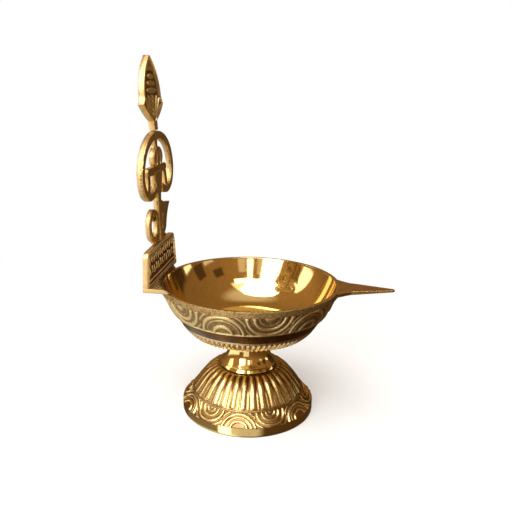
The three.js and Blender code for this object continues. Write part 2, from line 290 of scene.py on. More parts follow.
def to_line(u, v, line, closed=False):
    """Distance from each (u, v) to a line, and where along it, from 0 to 1, the nearest point lies."""
    line = np.asarray(line, float)
    if closed:
        line = np.vstack([line, line[0]])
    best = np.full(np.shape(u), np.inf)
    along = np.zeros(np.shape(u))
    for i, (a, b) in enumerate(zip(line, line[1:])):
        du, dv = b - a
        span = max(du * du + dv * dv, 1e-12)
        t = np.clip(((u - a[0]) * du + (v - a[1]) * dv) / span, 0, 1)
        distance = np.hypot(u - a[0] - t * du, v - a[1] - t * dv)
        nearer = distance < best
        best = np.where(nearer, distance, best)
        along = np.where(nearer, (i + t) / (len(line) - 1), along)
    return best, along


def bar(u, v, line, width, closed=False):
    """Signed distance to a bar of even width, less than 0 inside."""
    return to_line(u, v, line, closed)[0] - width / 2


def polygon(u, v, outline):
    """Signed distance to a closed outline, less than 0 inside."""
    inside = np.zeros(np.shape(u), bool)
    for a, b in zip(outline, np.roll(outline, -1, axis=0)):
        crosses = (a[1] > v) != (b[1] > v)
        rise = b[1] - a[1] if b[1] != a[1] else 1e-12
        inside ^= crosses & (u < (b[0] - a[0]) * (v - a[1]) / rise + a[0])
    distance = to_line(u, v, outline, closed=True)[0]
    return np.where(inside, -distance, distance)


def ellipse(u, v, centre, size):
    """About the signed distance to an ellipse."""
    x, y = (u - centre[0]) / size[0], (v - centre[1]) / size[1]
    r = np.hypot(x, y)
    slope = np.hypot(x / size[0], y / size[1]) / np.maximum(r, 1e-6)
    return (r - 1) / np.maximum(slope, 1e-6)


def join(*distances, fillet):
    """Smooth union of shapes, with a small fillet where they meet."""
    whole = distances[0]
    for other in distances[1:]:
        near = np.clip(0.5 + 0.5 * (other - whole) / fillet, 0, 1)
        whole = other + (whole - other) * near - fillet * near * (1 - near)
    return whole


def crown(distance, top, radius):
    """Height of a flat face whose edge is rounded off: top inside, top - radius on the outline."""
    rise = np.clip(radius + distance, 0, radius)
    return top - radius + np.sqrt(radius**2 - rise**2)


def ridge(distance, half_width, height=1.0):
    """A half-round ridge about distance 0."""
    return height * np.sqrt(np.clip(1 - (distance / half_width) ** 2, 0, 1))


def fade(value, start, end):
    """0 at start, 1 at end, smooth between."""
    t = np.clip((value - start) / (end - start), 0, 1)
    return t * t * (3 - 2 * t)


# ---- Mesh makers ----------------------------------------------------------------------------------


def make_piece(name, vertices, faces, relief, finishes, materials, nodes):
    """A smooth-shaded mesh, in metres, that stands for CAD nodes and rides on the lamp's one body."""
    mesh = bpy.data.meshes.new(name)
    mesh.from_pydata((np.asarray(vertices) * MM).tolist(), [], faces)
    mesh.attributes.new("relief", "FLOAT", "POINT").data.foreach_set("value", np.asarray(relief, np.float32))
    for material in materials:
        mesh.materials.append(material)
    mesh.polygons.foreach_set("material_index", np.asarray(finishes, np.int32))
    mesh.polygons.foreach_set("use_smooth", np.ones(len(mesh.polygons), bool))
    mesh.set_sharp_from_angle(angle=SHARP)
    mesh.validate()
    piece = bpy.data.objects.new(name, mesh)
    bpy.context.scene.collection.objects.link(piece)
    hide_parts(*nodes)
    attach(piece, "root")


def band(points, rows, finish, relief=None):
    """A stretch of a turned profile, cut into rows. relief(angle, t) is the height that stands proud of it,
    for t from 0 at the band's start to 1 at its end."""
    points = np.asarray(points, float)
    run = np.r_[0, np.cumsum(np.hypot(*np.diff(points, axis=0).T))]
    at = np.linspace(0, run[-1], rows + 1)
    return np.stack([np.interp(at, run, points[:, k]) for k in (0, 1)], 1), finish, relief


def turned(name, bands, materials, node, columns=COLUMNS):
    """A solid of revolution from bands of (radius, height), in order: out along the top, down the outside,
    in along the bottom and up the inside. The profile closes on itself or starts and ends on the axis."""
    angle = np.arange(columns) * 2 * math.pi / columns
    radii, heights, reliefs, finishes = [], [], [], []
    for points, finish, relief in bands:
        step = np.gradient(points, axis=0)
        step /= np.maximum(np.linalg.norm(step, axis=1), 1e-9)[:, None]
        t = np.linspace(0, 1, len(points))[:, None]
        proud = relief(angle[None, :], t) if relief else np.zeros((len(points), columns))
        first = 1 if radii else 0
        radii.append((points[:, :1] - step[:, 1:] * proud)[first:])
        heights.append((points[:, 1:] + step[:, :1] * proud)[first:])
        reliefs.append(proud[first:])
        finishes += [finish] * (len(points) - 1)
    r, z, proud = np.vstack(radii), np.vstack(heights), np.vstack(reliefs)
    on_axis = r[0].max() < 1e-6
    if not on_axis:  # the last row is the first one again
        r, z, proud = r[:-1], z[:-1], proud[:-1]
    vertices = np.stack([AXIS_X + r * np.cos(angle), r * np.sin(angle), z], -1).reshape(-1, 3)
    rows = len(r)
    ids = np.arange(rows * columns).reshape(rows, columns)
    if on_axis:
        ids[0], ids[-1] = ids[0, 0], ids[-1, 0]
    above = ids if not on_axis else ids[:-1]
    below = np.roll(ids, -1, axis=0) if not on_axis else ids[1:]
    faces, finish_of = [], []
    for i, (a, b) in enumerate(zip(above, below)):
        for corners in zip(a, b, np.roll(b, -1), np.roll(a, -1)):
            faces.append(tuple(dict.fromkeys(int(c) for c in corners)))
            finish_of.append(finishes[i])
    used = np.unique(ids)
    renumber = np.zeros(rows * columns, int)
    renumber[used] = np.arange(len(used))
    faces = [tuple(renumber[list(face)].tolist()) for face in faces]
    relief = proud.reshape(-1)[used]
    make_piece(name, vertices[used], faces, relief, finish_of, materials, [node])


def march(field, us, vs):
    """Marching squares. Points, faces and outline edges of the region where field is below 0."""
    nu, nv = field.shape
    corner = np.arange(nu * nv).reshape(nu, nv)
    across, up = corner + nu * nv, corner + 2 * nu * nv
    u, v = np.meshgrid(us, vs, indexing="ij")
    points = np.zeros((3, nu, nv, 2))
    points[0] = np.stack([u, v], -1)
    for k, (i, j) in enumerate(((1, 0), (0, 1)), start=1):
        far = np.roll(field, (-i, -j), axis=(0, 1))
        gap = np.where(field == far, 1, field - far)
        t = np.clip(field / gap, 0.04, 0.96)[..., None]  # off the corners, so that no face is a sliver
        points[k] = points[0] + t * np.array([i * (us[1] - us[0]), j * (vs[1] - vs[0])])
    inside = field < 0
    corners = [corner[:-1, :-1], corner[1:, :-1], corner[1:, 1:], corner[:-1, 1:]]
    edges = [across[:-1, :-1], up[1:, :-1], across[:-1, 1:], up[:-1, :-1]]
    flags = [inside[:-1, :-1], inside[1:, :-1], inside[1:, 1:], inside[:-1, 1:]]
    case = sum(flag.astype(int) << k for k, flag in enumerate(flags))
    faces, outline = [], []
    for mask in range(1, 16):
        walk = []
        for k in range(4):
            here, after = mask >> k & 1, mask >> (k + 1) % 4 & 1
            if here:
                walk.append((corners[k], False))
            if here != after:
                walk.append((edges[k], True))
        chosen = case == mask
        ids = np.stack([grid[chosen] for grid, _ in walk], 1)
        faces += ids.tolist()
        for n, (_, cut) in enumerate(walk):
            after = (n + 1) % len(walk)
            if cut and walk[after][1]:
                outline += ids[:, [n, after]].tolist()
    return points.reshape(-1, 2), faces, outline


def slab(name, low, high, step, shape, front, back, place, materials, node):
    """A casting drawn on a plane, in a grid from low to high. shape(u, v) is its signed distance d. front and
    back, of (u, v, d), are the heights of its two faces. place(u, v, w) puts a point of the drawing in the
    lamp. The first material is for the faces and the last for the edge."""
    us = np.arange(low[0] - step, high[0] + 2 * step, step)
    vs = np.arange(low[1] - step, high[1] + 2 * step, step)
    field = shape(*np.meshgrid(us, vs, indexing="ij"))
    points, faces, outline = march(field, us, vs)
    used = np.unique([i for face in faces for i in face])
    renumber = np.zeros(len(points), int)
    renumber[used] = np.arange(len(used))
    u, v = points[used].T
    distance = np.minimum(shape(u, v), 0)
    edge = np.unique(renumber[np.unique(outline)])
    distance[edge] = 0
    top, bottom = front(u, v, distance), back(u, v, distance)
    count = len(used)
    upper = [renumber[face].tolist() for face in faces]
    lower = [[i + count for i in reversed(face)] for face in upper]
    walls = [[a, a + count, b + count, b] for a, b in renumber[np.array(outline)].tolist()]
    every = place(np.r_[u, u], np.r_[v, v], np.r_[top, bottom])
    level = np.percentile(top, 98) - 0.05  # heights from here up are proud, and stay bright, free of patina and painted shade
    relief = np.r_[top - level, np.zeros(count)]
    finish = [0] * (len(upper) + len(lower)) + [len(materials) - 1] * len(walls)
    make_piece(name, every, upper + lower + walls, relief, finish, materials, [node])


# ---- Foot -----------------------------------------------------------------------------------------


def arc_groups(angle, height, groups, first, lines, reach=1.02):
    """Groups of concentric arcs in a band, which stand on its lower edge and hang from its upper edge in
    turn. height is 0 to 1 from the band's lower edge. first is the angle, in degrees, of the centre of a
    standing group. lines are the ridges of a standing and of a hanging group."""
    pitch = 360 / groups
    turn = np.degrees(angle) - first
    proud = 0
    for hanging in (0, 1):
        off = (turn - hanging * pitch + pitch) % (2 * pitch) - pitch
        drop = (1 - height) if hanging else height
        q = np.hypot(off / pitch * 2, drop / reach)
        own = np.abs(off) <= pitch / 2
        for at, width, rise in lines[hanging]:
            proud = np.maximum(proud, own * ridge(q - at, width, rise))
    return proud


# Distance from a group's centre, half-width and height of each ridge, in a standing and in a hanging group.
FOOT_LINES = (
    ((1.2, 0.06, 0.5), (0.93, 0.09, 1.0), (0.72, 0.05, 0.4), (0.46, 0.09, 0.9)),
    ((1.2, 0.06, 0.5), (0.93, 0.09, 1.0), (0.58, 0.09, 1.0), (0.3, 0.06, 0.7), (0, 0.12, 0.9)),
)
BOWL_LINES = (
    ((1.16, 0.05, 0.6), (0.93, 0.085, 1.0), (0.74, 0.04, 0.5), (0.42, 0.09, 1.0)),
    ((1.16, 0.05, 0.6), (0.93, 0.085, 1.0), (0.63, 0.08, 1.0), (0.42, 0.04, 0.4), (0, 0.24, 0.8)),
)


def flutes(angle, t):
    """Ribs down the dome, with a lower rib between each two that starts part of the way down."""
    start = math.radians(-152.8)
    turn = (angle - start) * FLUTES
    rib = (0.5 + 0.5 * np.cos(turn)) ** 0.7
    between = np.clip(-np.cos(turn), 0, 1) ** 3
    ends = fade(t, 0.02, 0.12) * fade(t, 0.995, 0.94)
    return ends * (0.62 * rib + 0.4 * between * fade(t, 0.3, 0.7) - 0.3)


def foot_arcs(angle, t):
    height = 1 - t
    edge = fade(t, 0, 0.03) * fade(t, 1, 0.97)
    return edge * (0.5 * arc_groups(angle, height, FOOT_ARCS, -90, FOOT_LINES, 0.95) - 0.08)


def foot():
    line_r, line_z = FOOT_LINE
    ceiling = FOOT_TOP_Z - 2.4
    dome = bezier([(FOOT_SHOULDER_R, FOOT_TOP_Z), (16.5, 19.6), (19.5, 15.6), (line_r, line_z)])
    bands = [
        band([(HOLE_R, FOOT_TOP_Z), (FOOT_SHOULDER_R, FOOT_TOP_Z)], 6, 0),
        band(dome, 40, 0, flutes),
        band(bezier([(line_r, line_z), (line_r + 0.5, line_z + 0.1), (line_r + 0.55, line_z - 0.55)]), 4, 0),
        band(bezier([(line_r + 0.55, line_z - 0.55), (25.4, 6.3), (FOOT_R, FOOT_BAND_Z)]), 40, 0, foot_arcs),
        band([(FOOT_R, FOOT_BAND_Z), (FOOT_R, 0.8)], 6, 1),
        band(bezier([(FOOT_R, 0.8), (FOOT_R - 0.05, 0.05), (FOOT_R - 0.7, 0)]), 4, 1),
        band([(FOOT_R - 0.7, 0), (25.6, 0)], 3, 2),
        band(bezier([(25.6, 0), (23.2, 4.4), (21.2, 7.4)]), 6, 2),
        band(bezier([(21.2, 7.4), (17.5, 13.4), (14, ceiling), (HOLE_R, ceiling)]), 14, 2),
        band([(HOLE_R, ceiling), (HOLE_R, FOOT_TOP_Z)], 3, 2),
    ]
    turned("foot_casting", bands, [FLUTED, POLISHED, ROUGH_CAST], "foot")


# ---- Neck and fixings -----------------------------------------------------------------------------


def neck():
    bottom, top = neck_low[2], neck_high[2]
    seat = 28.7
    shelf = bottom + 1.1
    socket = 6.3
    waist_r, waist_z = 8.4, 29.4
    skirt = bezier([(COLLAR_R - 0.65, shelf + 0.3), (COLLAR_R - 0.2, shelf - 0.4), (COLLAR_R, bottom + 0.3)])
    bands = [
        band([(socket, top), (10.2, top)], 2, 0),
        band(bezier([(10.2, top), (waist_r, 33), (waist_r, waist_z)]), 12, 0),
        band(bezier([(waist_r, waist_z), (8.6, 25), (10.4, 23.2), (COLLAR_R - 0.9, shelf + 0.5)]), 28, 0),
        band([(COLLAR_R - 0.9, shelf + 0.5), (COLLAR_R - 0.65, shelf + 0.3)], 3, 0),
        band(skirt, 8, 0),
        band(bezier([(COLLAR_R, bottom + 0.3), (COLLAR_R, bottom), (COLLAR_R - 0.3, bottom)]), 3, 0),
        band([(COLLAR_R - 0.3, bottom), (HOLE_R, bottom)], 3, 0),
        band([(HOLE_R, bottom), (HOLE_R, seat)], 3, 0),
        band([(HOLE_R, seat), (socket, seat)], 2, 0),
        band([(socket, seat), (socket, top)], 3, 0),
    ]
    turned("neck_spool", bands, [POLISHED], "neck", SMOOTH_COLUMNS)


def tie_rod():
    bottom, top = rod_low[2], rod_high[2]
    pitch, depth, chamfer = 1.0, 0.5, 0.6

    def thread(angle, t):
        z = top - chamfer - t * (top - bottom - 2 * chamfer)
        saw = (z / pitch - angle / (2 * math.pi)) % 1
        return -depth * (1 - np.abs(2 * saw - 1)) * fade(t, 0, 0.03) * fade(t, 1, 0.97)

    bands = [
        band([(0, top), (ROD_R - chamfer, top)], 3, 0),
        band([(ROD_R - chamfer, top), (ROD_R, top - chamfer)], 2, 0),
        band([(ROD_R, top - chamfer), (ROD_R, bottom + chamfer)], 240, 0, thread),
        band([(ROD_R, bottom + chamfer), (ROD_R - chamfer, bottom)], 2, 0),
        band([(ROD_R - chamfer, bottom), (0, bottom)], 3, 0),
    ]
    turned("tie_bar", bands, [STEEL], "tie_rod", 48)


def washer():
    bottom, top = washer_low[2], washer_high[2]
    outer = (washer_high[0] - washer_low[0]) / 2
    edge = 0.2
    bands = [
        band([(HOLE_R, top), (outer - edge, top)], 4, 0),
        band(arc((outer - edge, top - edge), edge, 90, 0), 4, 0),
        band([(outer, top - edge), (outer, bottom + edge)], 2, 0),
        band(arc((outer - edge, bottom + edge), edge, 0, -90), 4, 0),
        band([(outer - edge, bottom), (HOLE_R, bottom)], 4, 0),
        band([(HOLE_R, bottom), (HOLE_R, top)], 2, 0),
    ]
    turned("plain_washer", bands, [STEEL], "washer", 96)


def nut():
    """A hexagon nut whose corners are turned off at both ends."""
    bottom, top = nut_low[2], nut_high[2]
    flat = (nut_high[1] - nut_low[1]) / 2
    corner = flat / math.cos(math.pi / 6)
    chamfer = 0.7

    def hexagon(angle, t):
        off = (angle + math.pi / 6) % (math.pi / 3) - math.pi / 6
        side = flat / np.cos(math.pi / 6 - np.abs(off))
        z = np.minimum(t, 1 - t) * (top - bottom)
        cone = flat - 0.2 + z * (corner - flat + 0.2) / chamfer
        return np.minimum(side, cone) - corner

    bands = [
        band([(HOLE_R, top), (flat - 0.2, top)], 3, 0),
        band([(corner, top), (corner, bottom)], 40, 0, hexagon),
        band([(flat - 0.2, bottom), (HOLE_R, bottom)], 3, 0),
        band([(HOLE_R, bottom), (HOLE_R, top)], 3, 0),
    ]
    turned("hexagon_nut", bands, [STEEL], "nut", 144)


# ---- Bowl and spout -------------------------------------------------------------------------------


def bowl_arcs(angle, t):
    height = 1 - t
    edge = fade(t, 0, 0.03) * fade(t, 1, 0.97)
    arcs = 0.5 * arc_groups(angle, (height - 0.06) / 0.94, BOWL_ARCS, -100, BOWL_LINES) * fade(t, 0.95, 0.92)
    border = 0.45 * ridge(t - 0.945, 0.04)
    return edge * np.maximum(arcs, border)


def curls(angle, t):
    """A raised line with a row of small slanting curls below it, like a rope."""
    line = 0.22 * ridge(t - 0.05, 0.04)
    body = fade(t, 0.16, 0.28) * fade(t, 1, 0.8)
    strand = 0.5 + 0.5 * np.cos(angle * CURLS + 6.5 * t + 0.9 * np.sin(2 * math.pi * t))
    hollow = 0.5 + 0.5 * np.cos(angle * CURLS + 6.5 * t + 2.4)
    return line + body * (0.75 * strand**0.8 - 0.15 * hollow - 0.2)


def cut_curve(curve, low, high):
    """The part of a finely stepped curve between two heights."""
    keep = (curve[:, 1] >= low) & (curve[:, 1] <= high)
    return curve[keep]


def bowl():
    lip_z = RIM_Z - LIP_HEIGHT
    edge = 0.25
    inner_r = RIM_R - LIP_WIDTH
    inside = bezier([(14, BOWL_FLOOR_Z), (26.5, BOWL_FLOOR_Z), (32.5, 47.5), (inner_r, RIM_Z - edge)])
    belly_r = RIM_R - 0.9
    outside = bezier([(belly_r, lip_z), (33.5, 46.5), (26, BOWL_BASE_Z), (BOWL_BASE_R, BOWL_BASE_Z)], 240)
    arcs_z, belt_z, rope_z = 45.4, 41.2, 35.5
    arcs = cut_curve(outside, arcs_z, lip_z)
    belt = cut_curve(outside, belt_z, arcs_z)
    rope = cut_curve(outside, rope_z, belt_z)
    under = cut_curve(outside, 0, rope_z)
    belt = np.vstack([arcs[-1], belt, rope[0]])
    under = np.vstack([rope[-1], under])
    boss_r, boss_z, boss_top = 6, 29, 36.4
    bands = [
        band([(0, BOWL_FLOOR_Z), (14, BOWL_FLOOR_Z)], 8, 0),
        band(inside, 40, 0),
        band(arc((inner_r + edge, RIM_Z - edge), edge, 180, 90), 4, 0),
        band([(inner_r + edge, RIM_Z), (RIM_R - edge, RIM_Z)], 4, 0),
        band(arc((RIM_R - edge, RIM_Z - edge), edge, 90, 0), 4, 1),
        band([(RIM_R, RIM_Z - edge), (RIM_R, lip_z + 0.3)], 8, 1),
        band([(RIM_R, lip_z + 0.3), (belly_r, lip_z)], 4, 1),
        band(arcs, 54, 2, bowl_arcs),
        # the belt, in the dark brown of the painted dark reflection
        band(belt, 10, 3),
        band(rope, 30, 4, curls),
        band(under, 8, 0),
        band([(BOWL_BASE_R, BOWL_BASE_Z), (boss_r, BOWL_BASE_Z)], 4, 0),
        band([(boss_r, BOWL_BASE_Z), (boss_r, boss_z)], 3, 0),
        band([(boss_r, boss_z), (HOLE_R, boss_z)], 2, 0),
        band([(HOLE_R, boss_z), (HOLE_R, boss_top)], 3, 0),
        band([(HOLE_R, boss_top), (0, boss_top)], 3, 0),
    ]
    materials = [POLISHED, LIP, ENGRAVED, DARK_REFLECTION_BELT, ROPE]
    turned("oil_bowl_turning", bands, materials, "bowl")


def on_plan(u, v, w):
    """A point of a plan drawing: u and v from the turned parts' axis, w up from the table."""
    return np.stack([u + AXIS_X, v, w], 1)


def spout():
    """A flat tongue whose flared root runs into the rim."""
    tip_x = SPOUT_TIP_X - AXIS_X
    tip_r, neck_x, neck_half = 1.3, 42, 5.8
    root_thickness, tip_thickness = 1.8, 0.9
    flare = bezier([(34, 12.4), (38, 8), (neck_x, neck_half)], 12)
    far = np.vstack([flare, arc((tip_x - tip_r, 0), tip_r, 80, 0, 5)])
    plan = np.vstack([far * (1, -1), far[::-1]])

    def shape(u, v):
        clear_of_rim = RIM_R - 0.5 - np.hypot(u, v)
        return np.maximum(polygon(u, v, plan), clear_of_rim)

    def top(u, v, d):
        dish = 0.12 * fade(u, 39, 46) * np.clip(1 + d / 4, 0, 1)
        return crown(d, RIM_Z - 0.05, 0.35) - 0.1 + dish

    def bottom(u, v, d):
        along = np.clip((u - 38) / (tip_x - 38), 0, 1)
        thickness = root_thickness + (tip_thickness - root_thickness) * along
        return RIM_Z - thickness + 0.25 - crown(d, 0.25, 0.25)

    low, high = (RIM_R - 2, -13), (tip_x, 13)
    slab("wick_spout", low, high, 0.2, shape, top, bottom, on_plan, [SATIN], "spout")


# ---- Crest ----------------------------------------------------------------------------------------


def on_crest(u, v, w):
    """A point of the crest's drawing: u along +Y, v the height above the table, w out of the front face."""
    rise = v - RIM_Z
    x = w * math.cos(CREST_LEAN) - rise * math.sin(CREST_LEAN)
    z = w * math.sin(CREST_LEAN) + rise * math.cos(CREST_LEAN)
    return np.stack([CREST_FRONT_X + x, u, RIM_Z + z], 1)


def on_finial(u, v, w):
    """The same, on the finial, which bends back a little more from its foot."""
    rise = v - FINIAL_FOOT_Z
    leant = w * math.cos(FINIAL_BEND) - rise * math.sin(FINIAL_BEND)
    height = w * math.sin(FINIAL_BEND) + rise * math.cos(FINIAL_BEND)
    return on_crest(u, FINIAL_FOOT_Z + height, leant)


def mirrored(points):
    return [(-x, y) for x, y in points]


def stroke(u, v, line, width, height):
    """A leaf stroke: a ridge that swells and tapers along a smooth line."""
    distance, along = to_line(u, v, through(line))
    half = width * (0.25 + 0.75 * np.sin(math.pi * np.clip(along, 0.02, 0.98) ** 0.8))
    return ridge(distance, half, height)


def foliage(u, v):
    """Two rows of small curling leaves, side by side across the plate's field."""
    proud = np.zeros(np.shape(u))
    pitch, half_bend = 3.0, 0.42
    for k in range(-6, 7):
        for foot_z, hand in ((62.3, 1), (66.6, -1)):
            at, bend, start = k * pitch, half_bend * hand, foot_z + 0.5 * (k % 2)
            heights = (start, start + 1.2, start + 2.5, start + 3.6)
            line = [(at + sway * bend, z) for sway, z in zip((-1, 1, -0.7, 0.9), heights)]
            distance, along = to_line(u, v, through(line))
            half = 0.58 * np.sin(math.pi * np.clip(along, 0.08, 0.95))
            proud = np.maximum(proud, fade(half - distance, -0.02, 0.18))
    return proud


def plate_outline():
    half, foot_half, shoulder, corner = 19.8, 22.4, 72, 2.6
    right = np.vstack(
        [
            [(foot_half, PLATE_FOOT_Z)],
            bezier([(half + 0.4, shoulder - corner), (half, shoulder), (half - corner, shoulder)], 8),
            bezier([(half - corner, shoulder), (half / 3, shoulder + 0.2), (0, PLATE_PEAK_Z)], 8)[1:],
        ]
    )
    return np.vstack([right, right[-2::-1] * (-1, 1)])


def crest_plate():
    outline = plate_outline()

    def shape(u, v):
        return polygon(u, v, outline)

    def front(u, v, d):
        """A plain border with a ridge inside it, two lines along the foot, and leaves in the field."""
        depth = 0.5
        edge = depth * (1 - fade(-d, 1.1, 1.5))
        field = fade(-d, 1.6, 2.2) * fade(v, 61.6, 62.2)
        lines = sum(ridge(v - at, 0.5, depth) for at in (58.7, 60.5)) * fade(-d, 0.9, 1.2)
        carved = np.maximum.reduce([edge, ridge(d + 2.0, 0.35, depth), lines, field * depth * foliage(u, v)])
        return crown(d, 0, 0.35) - depth + np.minimum(carved, depth)

    def back(u, v, d):
        return -CREST_THICKNESS + 0.3 - crown(d, 0.3, 0.3)

    low, high = (-23, PLATE_FOOT_Z - 0.5), (23, PLATE_PEAK_Z + 0.5)
    materials = [LEAFED, FILED]
    slab("crest_plate_relief", low, high, 0.15, shape, front, back, on_crest, materials, "crest_plate")


def crest_web():
    """The web from the foot of the plate, out over the lip of the bowl."""
    half, reach, far_reach, far_half = 22.4, 8, 3.4, 9
    front_u = CREST_FRONT_X - AXIS_X
    near = bezier([(front_u + 4, -half), (front_u + 7, -half), (front_u + reach + 1.4, -half - 2.2)], 8)
    plan = np.vstack(
        [
            [(front_u - 2, -half)],
            near,
            [(front_u + reach + 2, -half + 2)],
            [(front_u + far_reach, far_half), (front_u + 0.3, far_half + 6), (front_u - 2, far_half + 6)],
        ]
    )

    def shape(u, v):
        return np.maximum(polygon(u, v, plan), WEB_INNER_R - np.hypot(u, v))

    def top(u, v, d):
        beads = np.cos(2.6 * u + 1.5 * v) * np.cos(2.6 * v - 0.8 * u)
        field = fade(-d, 0.7, 1.1)
        away = fade(np.hypot(u, v), WEB_INNER_R + 2.2, WEB_INNER_R)
        sunk = 0.7 * away + 0.4 * fade(v, -6, 8)
        beaded = crown(d, WEB_TOP_Z, 0.35) - sunk + field * (0.35 * beads - 0.45)
        return np.maximum(beaded, PLATE_FOOT_Z + 1.05)

    def bottom(u, v, d):
        over_lip = 1 - fade(np.hypot(u, v), RIM_R + 0.1, RIM_R + 0.3)
        return PLATE_FOOT_Z + 0.3 - crown(d, 0.3, 0.3) + 0.75 * over_lip

    low, high = (front_u - 2, -half - 2.4), (front_u + reach + 2, half)
    materials = [WEB, FILED]
    slab("crest_web_relief", low, high, 0.14, shape, top, bottom, on_plan, materials, "crest_plate")


def scroll_shapes(u, v):
    """The scroll's members: the signed distance to each, and the height of its front face."""
    half_ring = [(5, 94.6), (8.5, 93.2), (13.5, 93), (18.8, 95.8), (21, 101.4), (18.2, 108.8), (11.4, 113.9)]
    shift = [(x + RING_SHIFT, y) for x, y in half_ring]
    far_side = [(x + RING_SHIFT, y) for x, y in mirrored(half_ring)]
    ring = bar(u, v, through([*far_side, (0, SCROLL_TOP - 1.6), *reversed(shift)]), 3.2)

    stem = 1.9
    foot_z = PLATE_PEAK_Z + 0.3
    left = bezier([(-5.2, 102), (-5.2, 96), (-2.2, 95), (-stem, 89)], 10)
    body = polygon(u, v, np.vstack([left, [(-stem, foot_z), (stem, foot_z)], left[::-1] * (-1, 1)]))

    leaf_outline = np.vstack(
        [
            bezier([(1, 91.6), (3.4, 87.8), (16.2, 86.7)], 10),
            bezier([(16.2, 86.7), (11, 83), (9.6, 78)], 8)[1:],
            bezier([(9.6, 78), (8.6, 75.2), (5.6, 74.4)], 6)[1:],
            [(1, 74.4)],
        ]
    )
    leaf = np.maximum(polygon(u, v, leaf_outline), -ellipse(u, v, (3.7, 80.4), (1, 3.4)))

    centre = (RING_SHIFT, 107.4)
    bud = ellipse(u, v, centre, (6, 4.4))
    for offset in (-2.3, 2.3):
        bud = np.maximum(bud, -ellipse(u, v, (centre[0] + offset, centre[1]), (0.9, 2.8)))

    loop_left = [(-8.4, 86.3), (-12, 84.4), (-13.2, 80.6), (-11.6, 76.8), (-7.6, 74.9)]
    loop_line = [(-2.4, 80), (-4.2, 84.8), *loop_left, (-3.6, 76.4)]
    loop = bar(u, v, through(loop_line, closed=True), 2.2, closed=True)
    curl = bar(u, v, through([(-3.4, 84.6), (-6.2, 82.8), (-8.6, 84)]), 1.7)

    bar_z = 102.5
    shoulders = bar(u, v, [(-11.4, bar_z), (11.4, bar_z)], 3.2)
    drops = [
        bar(u, v, through([(k * 11, bar_z), (k * 12 + RING_SHIFT, 98.4), (k * 13 + RING_SHIFT, 93.6)]), 2.2)
        for k in (-1, 1)
    ]
    stem_top = bar(u, v, [(0, 110), (0, SCROLL_TOP - 2)], 2.6)
    sill = bar(u, v, [(-7.6, PLATE_PEAK_Z + 1), (7.6, PLATE_PEAK_Z + 1)], 1.4)
    full = [(shape, 0.0) for shape in (ring, body, bud)]
    lower = [(shape, -0.35) for shape in (leaf, loop, stem_top, shoulders, sill)]
    lowest = [(shape, -0.6) for shape in (curl, *drops)]
    return full + lower + lowest


def crest_scroll():
    def shape(u, v):
        return join(*(member for member, _ in scroll_shapes(u, v)), fillet=0.5)

    def front(u, v, d):
        """Each member's own flat face, the higher ones on top."""
        height = crown(d, -0.7, 0.3)
        for member, top in scroll_shapes(u, v):
            height = np.where(member < 0, np.maximum(height, crown(member, top, 0.35)), height)
        return np.minimum(height, crown(d, 0, 0.3))

    def back(u, v, d):
        return -CREST_THICKNESS + 0.25 - crown(d, 0.25, 0.25)

    low, high = (-23, PLATE_PEAK_Z), (24, SCROLL_TOP + 0.5)
    materials = [OPENWORK, FILED]
    slab("crest_scroll_casting", low, high, 0.2, shape, front, back, on_crest, materials, "crest_scroll")


def finial_outline():
    neck_half = 2.2
    right = np.vstack(
        [
            [(neck_half, FINIAL_FOOT_Z)],
            bezier([(neck_half, 122), (9, 124.6), (13.4, 128.6)], 8),
            bezier([(13.4, 128.6), (11.4, 130.2), (11.2, 131.6)], 5)[1:],
            bezier([(11.2, 131.6), (10.9, 138), (7, 143), (0, FINIAL_TOP_Z)], 14)[1:],
        ]
    )
    return np.vstack([right, right[-2::-1] * (-1, 1)])


def crest_finial():
    outline = finial_outline()

    def shape(u, v):
        return polygon(u, v, outline)

    def front(u, v, d):
        """A rim with a ridge inside it, three loaves, a notched facet, and a twisted cord between leaves."""
        depth = 0.9
        rim = depth * (1 - fade(-d, 0.5, 0.9)) + ridge(d + 1.7, 0.4, 0.6) * fade(v, 131, 132)
        loaves = np.zeros(np.shape(u))
        for centre in (133.7, 136.4, 139.0):
            loaf = ellipse(u, v, (0, centre), (6.2 - 0.5 * (centre - 133.7), 1.3))
            loaves = np.maximum(loaves, 0.75 * fade(-loaf, 0, 0.45))
        loaves = loaves * fade(-d, 2.0, 2.6)
        facet = fade(v, 140.9, 141.4) * 0.65 * fade(-d, 1.0, 1.3)
        notch = polygon(u, v, np.array([(-1.2, 142.2), (1.2, 142.2), (0, 144.4)]))
        facet = facet - 0.35 * fade(-notch, 0, 0.3)
        cord_half = 2.1
        twist = 0.6 + 0.4 * np.sin(2 * math.pi * (v / 1.7 + u * 0.32))
        cord = ridge(u, cord_half, 0.95) * twist * fade(v, 122.6, 123.4) * fade(v, 132.4, 131.6)
        leaves = np.zeros(np.shape(u))
        side = np.abs(u)
        for tip in ((12.0, 128.4), (9.0, 130.6), (5.4, 131.6)):
            bend = (tip[0] * 0.62 + 0.6, 125.6 + (tip[1] - 128.4) * 0.3)
            leaves = np.maximum(leaves, stroke(side, v, ((2.6, 122.6), bend, tip), 0.75, 0.75))
        carved = np.maximum.reduce([rim, loaves, facet, cord, leaves, depth * fade(v, 122.4, 121.8)])
        return crown(d, 0, 0.35) - depth + np.minimum(carved, depth)

    def back(u, v, d):
        return -FINIAL_THICKNESS + 0.35 - crown(d, 0.35, 0.35)

    low, high = (-14, FINIAL_FOOT_Z), (14, FINIAL_TOP_Z + 0.3)
    materials = [CAST, FILED]
    slab("crest_finial_bud", low, high, 0.15, shape, front, back, on_finial, materials, "crest_finial")


foot()
neck()
tie_rod()
washer()
nut()
bowl()
spout()
crest_plate()
crest_web()
crest_scroll()
crest_finial()


# ---- Studio ---------------------------------------------------------------------------------------


